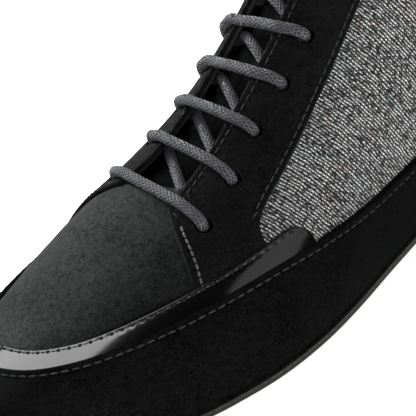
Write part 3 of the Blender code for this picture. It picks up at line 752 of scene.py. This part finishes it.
def facing_high(t, side):
    """Throat edge of a facing, with the medial lip, then its front edge: a falling share of the height."""
    x = share(t)
    edge = throat_girth(t, side) + np.where(side < 0, curve(MEDIAL_LIP, 1, x), 0.0)
    low = strip_top(x) - FACING_OVER
    fall = np.where(x <= FACING_FRONT[0, 0], 1.0, np.clip(curve(FACING_FRONT, 1, x), 0, 1))
    return low + (edge - low) * fall


def facing_low(t, side):
    """Rear edge of a facing at its width under the throat edge, then a little under the strip's top."""
    x = share(t)
    return np.maximum(throat_girth(t, side) - curve(THROAT, 3, x), strip_top(x) - FACING_UNDER)


def by_eyelet(row, side, towards=0.0, drift=0.0):
    """Station, rib parameter and side beside eyelets: a girth distance from each towards the throat, moved
    along the shoe by a share of its length for each metre of that girth."""
    column = 0 if side > 0 else 2
    t = station(ROWS[row, column] + drift * towards)
    where = np.full_like(t, side)
    return t, at_height(t, where, throat_girth(t, where) - ROWS[row, column + 1] + towards), where


def circle(first, second, turn):
    """Points round a unit circle at each place: one way times the turn's cosine, the other times its sine."""
    return first[:, None] * np.cos(turn)[:, None] + second[:, None] * np.sin(turn)[:, None]


def sew(name, t, side, heights, out, finish, pitch, length, thick, rise=0.0002, shift=0.0):
    """A row of stitches along a line at girth heights and a distance out from the upper: small spindles, one
    a pitch, each bowed up in the middle, with its ends in the leather."""
    side, v = (column[:, 0] for column in over_ridge(t, side, heights[:, None]))
    line = skin(t, v, side, out)
    square = outward(t, v, side)
    run = run_along(line)
    total = int(run[-1] / pitch)
    mid = (np.arange(total) + 0.5 + shift) * pitch
    at, on, n = (np.stack([np.interp(places, run, column) for column in rows.T], axis=1)
                 for places, rows in ((mid, line), (mid + 0.2 * pitch, line), (mid, square)))
    n = unit(n)
    along = unit(on - at - n * ((on - at) * n).sum(axis=1, keepdims=True))
    s = np.linspace(-1, 1, 7)
    turn = np.arange(6) * math.pi / 3
    fat = thick / 2 * np.sqrt(np.clip(1 - s ** 4, 0.02, 1))
    bow = rise * (1 - s * s) - STITCH_SUNK
    spine = at[:, None] + along[:, None] * (length / 2 * s)[:, None] + n[:, None] * bow[:, None]
    points = spine[:, :, None] + fat[:, None, None] * circle(np.cross(n, along), n, turn)[:, None]
    one = quads(len(s), len(turn), closed_columns=True)
    faces = (one[None] + (np.arange(total) * len(s) * len(turn))[:, None, None]).reshape(-1, 4)
    return piece_from(name, points, faces, (finish,))


def sewing_thread(name, colour, roughness=0.7):
    """Twisted thread of one colour with a fine relief."""
    made = Finish(name, colour, roughness)
    made.grain(4000.0, 3.0, 0.5)
    return made


facing_suede = suede("facing_suede", (0.0018, 0.0018, 0.0018), (0.0138, 0.0136, 0.0132), 0.8)
dark_thread = sewing_thread("dark_thread", (0.018, 0.019, 0.020))
light_thread = sewing_thread("light_thread", (0.115, 0.114, 0.106))
facing_x = steps((THROAT_TOP + FACING_REAR, *FACING_TURN, FACING_FRONT[-1, 0]), (89, 39, 69))
facing_t = station(facing_x)
FACING_COLUMNS = np.concatenate([[0.0, 0.006, 0.015, 0.03, 0.05], np.linspace(0.075, 0.925, 30),
                                 [0.95, 0.97, 0.985, 0.994, 1.0]])
facings = []
punches = []
for side_name, side in (("lateral", 1.0), ("medial", -1.0)):
    where = np.full_like(facing_t, side)
    low = facing_low(facing_t, where)
    high = np.maximum(facing_high(facing_t, where), low + FACING_LEAST)
    heights = low[:, None] + (high - low)[:, None] * FACING_COLUMNS
    step = np.gradient(facing_x) * LENGTH
    steep_high = np.hypot(1.0, np.gradient(high) / step)[:, None]
    steep_low = np.hypot(1.0, np.gradient(low) / step)[:, None]
    from_high = (high[:, None] - heights) / steep_high
    from_low = (heights - low[:, None]) / steep_low
    from_end = np.minimum(facing_x - facing_x[0], facing_x[-1] - facing_x)[:, None] * LENGTH
    lift = FACING_THICK * round_edge(from_high, EDGE_ROUND) * round_edge(from_low, EDGE_ROUND)
    lift *= round_edge(from_end, EDGE_ROUND)
    groove = np.exp(-((from_high - SEAM_IN) / GROOVE) ** 2) + np.exp(-((from_low - SEAM_REAR) / GROOVE) ** 2)
    out = lift - GROOVE_DEEP * groove * round_edge(from_end, GROOVE_END) - SUNK
    on_side, v = over_ridge(facing_t, where, heights)
    face = skin(facing_t[:, None], v, on_side, out)
    under = skin(facing_t[:, None], v, on_side, -SUNK)
    one = quads(*face.shape[:2])
    both = np.concatenate([one, one[:, ::-1] + face.shape[0] * face.shape[1]])
    facing = piece_from("facing_panel_" + side_name, np.concatenate([face, under]), both, (facing_suede,))
    facings.append(facing)
    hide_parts("facing_" + side_name)
    in_front = (facing_x > SEAM_TURN) & (facing_x < FRONT_SEAM_END)
    seams = (
        ("throat", SEAM_IN, high, steep_high, facing_x < SEAM_TURN, dark_thread, STITCH_PITCH, 0.00050),
        ("front", SEAM_IN, high, steep_high, in_front, light_thread, FRONT_PITCH, 0.00070),
        ("rear", -SEAM_REAR, low, steep_low, facing_x < REAR_SEAM_END, dark_thread, STITCH_PITCH, 0.00050))
    for seam, inset, edge, steep, keep, finish, pitch, thick in seams:
        line = (facing_t[keep], where[keep], (edge - inset * steep[:, 0])[keep], FACING_THREAD)
        made = sew("facing_%s_%s_stitches" % (side_name, seam), *line, finish, pitch, 0.85 * pitch, thick)
    eyelets = by_eyelet(slice(None), side)
    axis = outward(*eyelets)
    across = unit(np.cross(axis, (0.0, 1.0, 0.0)))
    turn = np.arange(PUNCH_SIDES) * 2 * math.pi / PUNCH_SIDES
    middle = rib(*eyelets)[:, None] + EYELET_RADIUS * circle(across, np.cross(axis, across), turn)
    far = PUNCH_REACH * axis[:, None]
    punches.append(np.stack([middle - far, middle + far], axis=1))
punches = np.concatenate(punches)
first = np.arange(len(punches)) * 2 * PUNCH_SIDES
punch_faces = (quads(2, PUNCH_SIDES, closed_columns=True)[None] + first[:, None, None]).reshape(-1, 4)
punch_ends = np.concatenate([first, first + PUNCH_SIDES])[:, None] + np.arange(PUNCH_SIDES)
punch = piece_from("eyelet_punch", punches, punch_faces, (facing_suede,), ends=punch_ends.tolist())
for target in (upper, *facings):
    cut = target.modifiers.new("eyelets", "BOOLEAN")
    cut.operation = "DIFFERENCE"
    cut.solver = "EXACT"
    cut.object = punch
    bpy.context.view_layer.update()
    cut_mesh = bpy.data.meshes.new_from_object(target.evaluated_get(bpy.context.evaluated_depsgraph_get()))
    target.modifiers.clear()
    target.data = cut_mesh
bpy.data.objects.remove(punch, do_unlink=True)

# Toe strip: a narrow band of patent leather above the rand, round the toe to both sides, with rounded rear
# ends. A row of small holes and dark stitches runs just inside its top edge; the holes are black spindles of
# painted shade.
patent = Finish("patent_leather", (0.0006, 0.0006, 0.0008), 0.25)
patent.set("Coat Weight", 1.0)
patent.set("Coat Roughness", 0.13)
patent.set("Specular IOR Level", 0.1)
patent.set("Coat IOR", 1.80)
patent.bump(patent.noise(260.0, 2.0), 0.03, 0.0006)
STRIP_THICK = 0.0012
STRIP_LIFT = 0.0003
STRIP_SEAM = 0.0011
STRIP_PULL = 0.0001
STRIP_THREAD = STRIP_THICK + 0.0001
STRIP_UNDER = 0.002
SEAM_SHORT = 0.012
TOP_ROUND = 0.0004
END_ROUND = 0.0008
END_LEAST = 0.0002
REAR_IN = 0.0002
REAR_FINE = 0.1
STEP_LEAST = 0.0004
STEEPEST = 6.0
EDGE_COLUMNS = 4
rear = math.pi - station(STRIP_REAR + REAR_IN)
near = rear - REAR_FINE
strip_q = steps((-rear, -near, near, rear), (23, 519, 23))
strip_t, strip_side = round_shoe(strip_q)
strip_x = share(strip_t)
strip_low = curve(BANDS, 1, strip_x) - STRIP_UNDER
strip_high = strip_top(strip_x)
STRIP_COLUMNS = np.concatenate([np.linspace(0, 0.8, 10), [0.85, 0.89, 0.92, 0.945, 0.965, 0.98, 0.99, 1.0]])
heights = strip_low[:, None] + (strip_high - strip_low)[:, None] * STRIP_COLUMNS
step = np.maximum(np.abs(np.gradient(strip_x)) * LENGTH, STEP_LEAST)
steep = np.hypot(1.0, np.gradient(strip_high) / step)[:, None]
from_top = (strip_high[:, None] - heights) / np.minimum(steep, STEEPEST)
from_end = (strip_x - STRIP_REAR)[:, None] * LENGTH + END_LEAST
strip_out = STRIP_THICK * round_edge(from_top, TOP_ROUND) * round_edge(from_end, END_ROUND) + STRIP_LIFT
strip_run = run_along(rib(strip_t, at_height(strip_t, strip_side, strip_high), strip_side))
pull = 0.6 - 0.4 * np.cos(2 * math.pi * strip_run / STITCH_PITCH)[:, None]
strip_out -= STRIP_PULL * pull * np.exp(-((from_top - STRIP_SEAM) / GROOVE) ** 2)
strip_v = reach(girth(strip_t, strip_side), heights)
strip_points = skin(strip_t[:, None], strip_v, strip_side[:, None], strip_out)
cut_edge = Finish("patent_cut_edge", (0.006, 0.005, 0.005), 0.9)
cut_edge.grain(3000.0, 3.0, 0.3)
cut_edge.set("Specular IOR Level", 0.1)
strip_edge = np.arange(len(STRIP_COLUMNS) - 1) >= len(STRIP_COLUMNS) - 1 - EDGE_COLUMNS
strip = piece_from("toe_strip_patent", strip_points, quads(*strip_points.shape[:2]),
                   (patent, cut_edge), np.tile(strip_edge, len(strip_q) - 1), solid=False)
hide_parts("toe_strip")
keep = strip_x > STRIP_REAR + SEAM_SHORT
line = (strip_t[keep], strip_side[keep], (strip_high - STRIP_SEAM)[keep], STRIP_THREAD)
strip_thread = sewing_thread("strip_thread", (0.030, 0.030, 0.031), 0.6)
strip_stitches = sew("toe_strip_stitches", *line, strip_thread, STITCH_PITCH, 0.0018, 0.00055)
# Pinholes: small black spindles on the strip, painted shade standing in for the dark holes
hole_painted_shade = Finish("pinhole_painted_shade", (0.002, 0.002, 0.002), 0.9)
strip_hole_shade = sew("toe_strip_pinhole_shade", *line, hole_painted_shade, STITCH_PITCH, 0.0014, 0.0012, 0.0, 0.5)

# Rand: a suede band round the whole shoe from the sole's edge up, lapped over the strip and quarters.
# One row of dark stitches holds its top edge, and its suede is painted paler towards the toe: painted light
# on the toe.
RAND_THICK = 0.0014
RAND_SEAM = 0.0021
RAND_LAP = 0.0010
LAP_FADE = 0.004
RAND_THREAD = RAND_THICK + 0.00035
# Painted light on the rand: from a place to a place along the shoe its tone is scaled from a share to a
# share, paler towards the toe
RAND_PAINTED_LIGHT = (-0.03, 0.12, 0.55, 1.60)
rand_suede = suede("rand_suede", (0.0001, 0.0001, 0.0001), (0.0066, 0.0067, 0.0066), 0.9, RAND_PAINTED_LIGHT)
rand_q = np.linspace(-math.pi, math.pi, 601)[:-1]
rand_t, rand_side = round_shoe(rand_q)
rand_high = curve(BANDS, 1, share(rand_t))
# Rows of the rand's top edge and seam: distances down from the top
RAND_DOWN = np.array([0.0, 0.0001, 0.0002, 0.0004, 0.0007, 0.0011, 0.0015, 0.0018, 0.0021, 0.0024, 0.0027,
                      0.0031, 0.0037, 0.0048])
below_seam = np.linspace(0.0, 1.0, 18)[1:]
down = np.concatenate([np.broadcast_to(RAND_DOWN, (len(rand_q), len(RAND_DOWN))),
                       RAND_DOWN[-1] + (rand_high[:, None] - RAND_DOWN[-1]) * below_seam], axis=1)
rand_out = (RAND_THICK + RAND_LAP * np.exp(-down / LAP_FADE)) * round_edge(down, EDGE_ROUND) - SUNK
rand_out -= GROOVE_DEEP * np.exp(-((down - RAND_SEAM) / GROOVE) ** 2)
rand_v = reach(girth(rand_t, rand_side), rand_high[:, None] - down)
rand_points = skin(rand_t[:, None], rand_v, rand_side[:, None], rand_out)
# Lower edge, turned in under the wall: distance out and height from the feather line
TURNED_IN = np.array([(0.0014, -0.0005), (0.0014, -0.0011), (0.0013, -0.0015), (0.0010, -0.0017)])
tail = outline(*np.broadcast_arrays(rand_t[:, None], rand_side[:, None], TURNED_IN[:, 0]))
tail[..., 2] += TURNED_IN[:, 1]
rand_points = np.concatenate([rand_points, tail], axis=1)
rand_faces = quads(*rand_points.shape[:2], closed_rows=True)
rand = piece_from("rand_band", rand_points, rand_faces, (rand_suede,), solid=False)
rand.data.flip_normals()
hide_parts("rand")
rand_stitches = sew("rand_stitches", rand_t, rand_side, rand_high - RAND_SEAM, RAND_THREAD, dark_thread,
                    STITCH_PITCH, 0.0023, 0.00055)

# Lace: a round braided cord of nine strands, straight bars over the facings and slanting runs under them,
# drawn through the plain eyelets. It stops under the top row.
LACE_RADIUS = 0.00165
LACE_OVER = 0.0026
LACE_BOW = 0.0004
BAR_TURN = 0.016
LACE_UNDER = 0.0032
STRANDS = 9
BRAID_PITCH = 0.0017
LACE_SIDES = 16
LACE_GUIDE = (0.86, 0.0, -0.51)
cord = Finish("lace_braid", (0.060, 0.066, 0.074), 0.8)
on_cord = cord.node("SeparateXYZ", [(0, cord.place("UV"))])
crossed = [cord.math(way, on_cord.outputs[0], on_cord.outputs[1]) for way in ("ADD", "SUBTRACT")]
braid = [cord.math("SINE", cord.math("MULTIPLY", turn, 2 * math.pi)) for turn in crossed]
weave = cord.math("MULTIPLY_ADD", cord.math("MAXIMUM", *braid), 0.4, 0.5)
fuzz = cord.math("MULTIPLY", cord.noise(3200.0, 2.0, 0.7), 0.60)
# Painted shade and highlight: the grooves between the braid's strands are painted darker and the crowns
# paler, with a random fibre fuzz
cord.link("Base Color", cord.ramp(cord.math("MULTIPLY_ADD", weave, 0.55, fuzz),
                                  (0.42, (0.012, 0.012, 0.015)), (0.92, (0.156, 0.157, 0.172))))
cord.bump(weave, 0.9, 0.0007)


def beside_eyelet(row, side, towards, out, drift=0.0):
    """Points beside one eyelet, at girth distances towards the throat and distances out from the upper."""
    return skin(*by_eyelet(row, side, np.array(towards), drift), out)


def bar(row):
    """Bar of one row: flat along each facing from its eyelet, then over the throat with a slight bow."""
    drift = (ROWS[row, 2] - ROWS[row, 0]) / BAR_TURN
    out = (1.9e-3, 2.7e-3, LACE_OVER, LACE_OVER)
    inner_end = beside_eyelet(row, -1.0, (1.2e-3, 2.2e-3, 3.4e-3, 4.6e-3), out, -drift)
    outer_end = beside_eyelet(row, 1.0, (1.2e-3, 3.0e-3, 5.5e-3, 8.0e-3), out, drift)
    s = np.array([0.25, 0.5, 0.75])[:, None]
    middle = inner_end[-1] * (1 - s) + outer_end[-1] * s
    middle[:, 2] += LACE_BOW * np.sin(math.pi * s[:, 0])
    return np.concatenate([inner_end, middle, outer_end[::-1]])


def through(row, side):
    """Points down one eyelet, from the facing's face to below the upper."""
    return beside_eyelet(row, side, (0.7e-3, 0.3e-3, 0.3e-3, 1.2e-3), (0.7e-3, -0.7e-3, -2.2e-3, -3.4e-3))


def slant(row):
    """Slanting run under the upper, from a lateral eyelet to the next medial one: the arch at one depth."""
    start = beside_eyelet(row, 1.0, (3.0e-3,), (-LACE_UNDER,))
    end = beside_eyelet(row + 1, -1.0, (3.0e-3,), (-LACE_UNDER,))
    s = np.array([0.2, 0.4, 0.6, 0.8])
    t = station(ROWS[row, 0] + (ROWS[row + 1, 2] - ROWS[row, 0]) * s)
    y = start[0, 1] + (end[0, 1] - start[0, 1]) * s
    ridge_y = apex(t)[0][:, 1]
    side = np.where(y > ridge_y, 1.0, -1.0)
    middle = skin(t, at_side(t, side, side * (y - ridge_y)), side, -LACE_UNDER)
    return np.concatenate([start, middle, end])


route = []
for row in range(len(ROWS)):
    route += [through(row, -1.0)[::-1], bar(row), through(row, 1.0)]
    if row + 1 < len(ROWS):
        route.append(slant(row))
route = np.concatenate(route)


def smooth_route(points, parts):
    """Dense path through points: a cubic between each two, with slopes from their neighbours' chords."""
    run = run_along(points)
    last = len(points) - 1
    fine = np.interp(np.linspace(0, last, last * parts + 1), np.arange(last + 1), run)
    return np.stack([curve(np.stack([run, points[:, k]], axis=1), 1, fine) for k in range(3)], axis=1)


def tube(path, radius, sides):
    """Round tube along a path: circles square to it, each begun at the same sideways guide."""
    along = unit(np.gradient(path, axis=0))
    guide = unit(np.cross(along, LACE_GUIDE))
    turn = np.linspace(0, 2 * math.pi, sides + 1)
    return path[:, None] + radius * circle(guide, np.cross(along, guide), turn)


path = smooth_route(route, 6)
lace_points = tube(path, LACE_RADIUS, LACE_SIDES)
turns = np.linspace(0, STRANDS, LACE_SIDES + 1)
lace_flat = np.stack(np.broadcast_arrays(turns, run_along(path)[:, None] / BRAID_PITCH), axis=-1)
lace_ends = [list(range(k, k + LACE_SIDES)) for k in (0, (len(path) - 1) * (LACE_SIDES + 1))]
lace = piece_from("lace_cord", lace_points, quads(*lace_points.shape[:2]), (cord,), spread=lace_flat,
                  ends=lace_ends)
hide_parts("lace")

# Floor, camera and lights: a plain pale floor, seen from above the outer side of the toe with the camera
# rolled, under a strong low light from the inner side, a soft overhead box and weak lights on the outer side.
floor_finish = Finish("pale_floor", (0.92, 0.92, 0.92), 0.9)
floor_finish.set("Emission Color", (1.0, 1.0, 1.0, 1.0))
floor_finish.set("Emission Strength", 0.88)
floor_mesh = bpy.data.meshes.new("floor")
floor_mesh.from_pydata([(-6, -6, 0), (6, -6, 0), (6, 6, 0), (-6, 6, 0)], [], [(0, 1, 2, 3)])
floor_mesh.materials.append(floor_finish.made)
floor = bpy.data.objects.new("floor", floor_mesh)
scene.collection.objects.link(floor)

VIEW_TURN = math.radians(28.7)
VIEW_LIFT = math.radians(26.6)
VIEW_ROLL = math.radians(20.9)
VIEW_AWAY = 0.415
PIXELS_PER_METRE = 3525.0
PHOTO_SIDE = 416.0
AIM = np.array([LENGTH - 0.090 + BACK_X, 0.020 + CENTRE_Y, 0.025])
AIM_PIXEL = np.array([236.0, 255.3])
flat_back = np.array([math.sin(VIEW_TURN), math.cos(VIEW_TURN), 0.0])
back = math.cos(VIEW_LIFT) * flat_back + np.array([0.0, 0.0, math.sin(VIEW_LIFT)])
level = np.array([-math.cos(VIEW_TURN), math.sin(VIEW_TURN), 0.0])
rise = np.cross(back, level)
right = math.cos(VIEW_ROLL) * level - math.sin(VIEW_ROLL) * rise
up = math.sin(VIEW_ROLL) * level + math.cos(VIEW_ROLL) * rise
eye = AIM + VIEW_AWAY * back
focal = PIXELS_PER_METRE * VIEW_AWAY
offset = AIM_PIXEL - PHOTO_SIDE / 2
back = unit(focal * back + offset[0] * right - offset[1] * up)
right = unit(right - back * (right @ back))
lens = bpy.data.cameras.new("camera")
lens.sensor_width = 36.0
lens.lens = focal / PHOTO_SIDE * lens.sensor_width
lens.clip_start = 0.01
camera = bpy.data.objects.new("camera", lens)
view = np.stack([right, np.cross(back, right), back, eye], axis=1)
camera.matrix_world = Matrix(view.tolist() + [[0, 0, 0, 1]])
scene.collection.objects.link(camera)
scene.camera = camera


def soft_box(name, place, aim, size, power, spread=180.0, matt=True, gloss=True):
    """Oblong soft box at a place, facing a point, with a beam spread in degrees. It lights matt surfaces,
    shows in gloss, or does both, and the camera never sees it."""
    light = bpy.data.lights.new(name, "AREA")
    light.shape = "RECTANGLE"
    light.size, light.size_y = size
    light.energy = power
    light.spread = math.radians(spread)
    box = bpy.data.objects.new(name, light)
    facing_round = (Vector(place) - Vector(aim)).to_track_quat("Z", "Y")
    box.matrix_world = Matrix.LocRotScale(Vector(place), facing_round, None)
    box.visible_camera = False
    box.visible_diffuse = matt
    box.visible_glossy = gloss
    scene.collection.objects.link(box)


soft_box("top_box", (0.08, -0.45, 1.05), (0.08, -0.45, 0.0), (0.90, 1.45), 14.0, matt=False)
soft_box("fill_box", (0.08, -0.49, 1.05), (0.08, -0.49, 0.0), (0.90, 1.45), 6.2, gloss=False)
soft_box("key_box", (0.08, -1.0, 0.60), (0.070, 0.0, 0.04), (0.35, 0.35), 2.55, spread=28.0, gloss=False)
soft_box("rear_box", (-0.32, 0.82, 0.56), (0.0, 0.0, 0.04), (0.6, 0.5), 0.42)
soft_box("side_box", (0.25, 1.0, 0.16), (0.0, 0.0, 0.05), (0.7, 0.3), 4.5)
world = bpy.data.worlds.new("studio")
world.use_nodes = True
world.node_tree.nodes["Background"].inputs["Color"].default_value = (1.0, 1.0, 1.0, 1.0)
world.node_tree.nodes["Background"].inputs["Strength"].default_value = 0.015
scene.world = world
scene.view_settings.view_transform = "Standard"
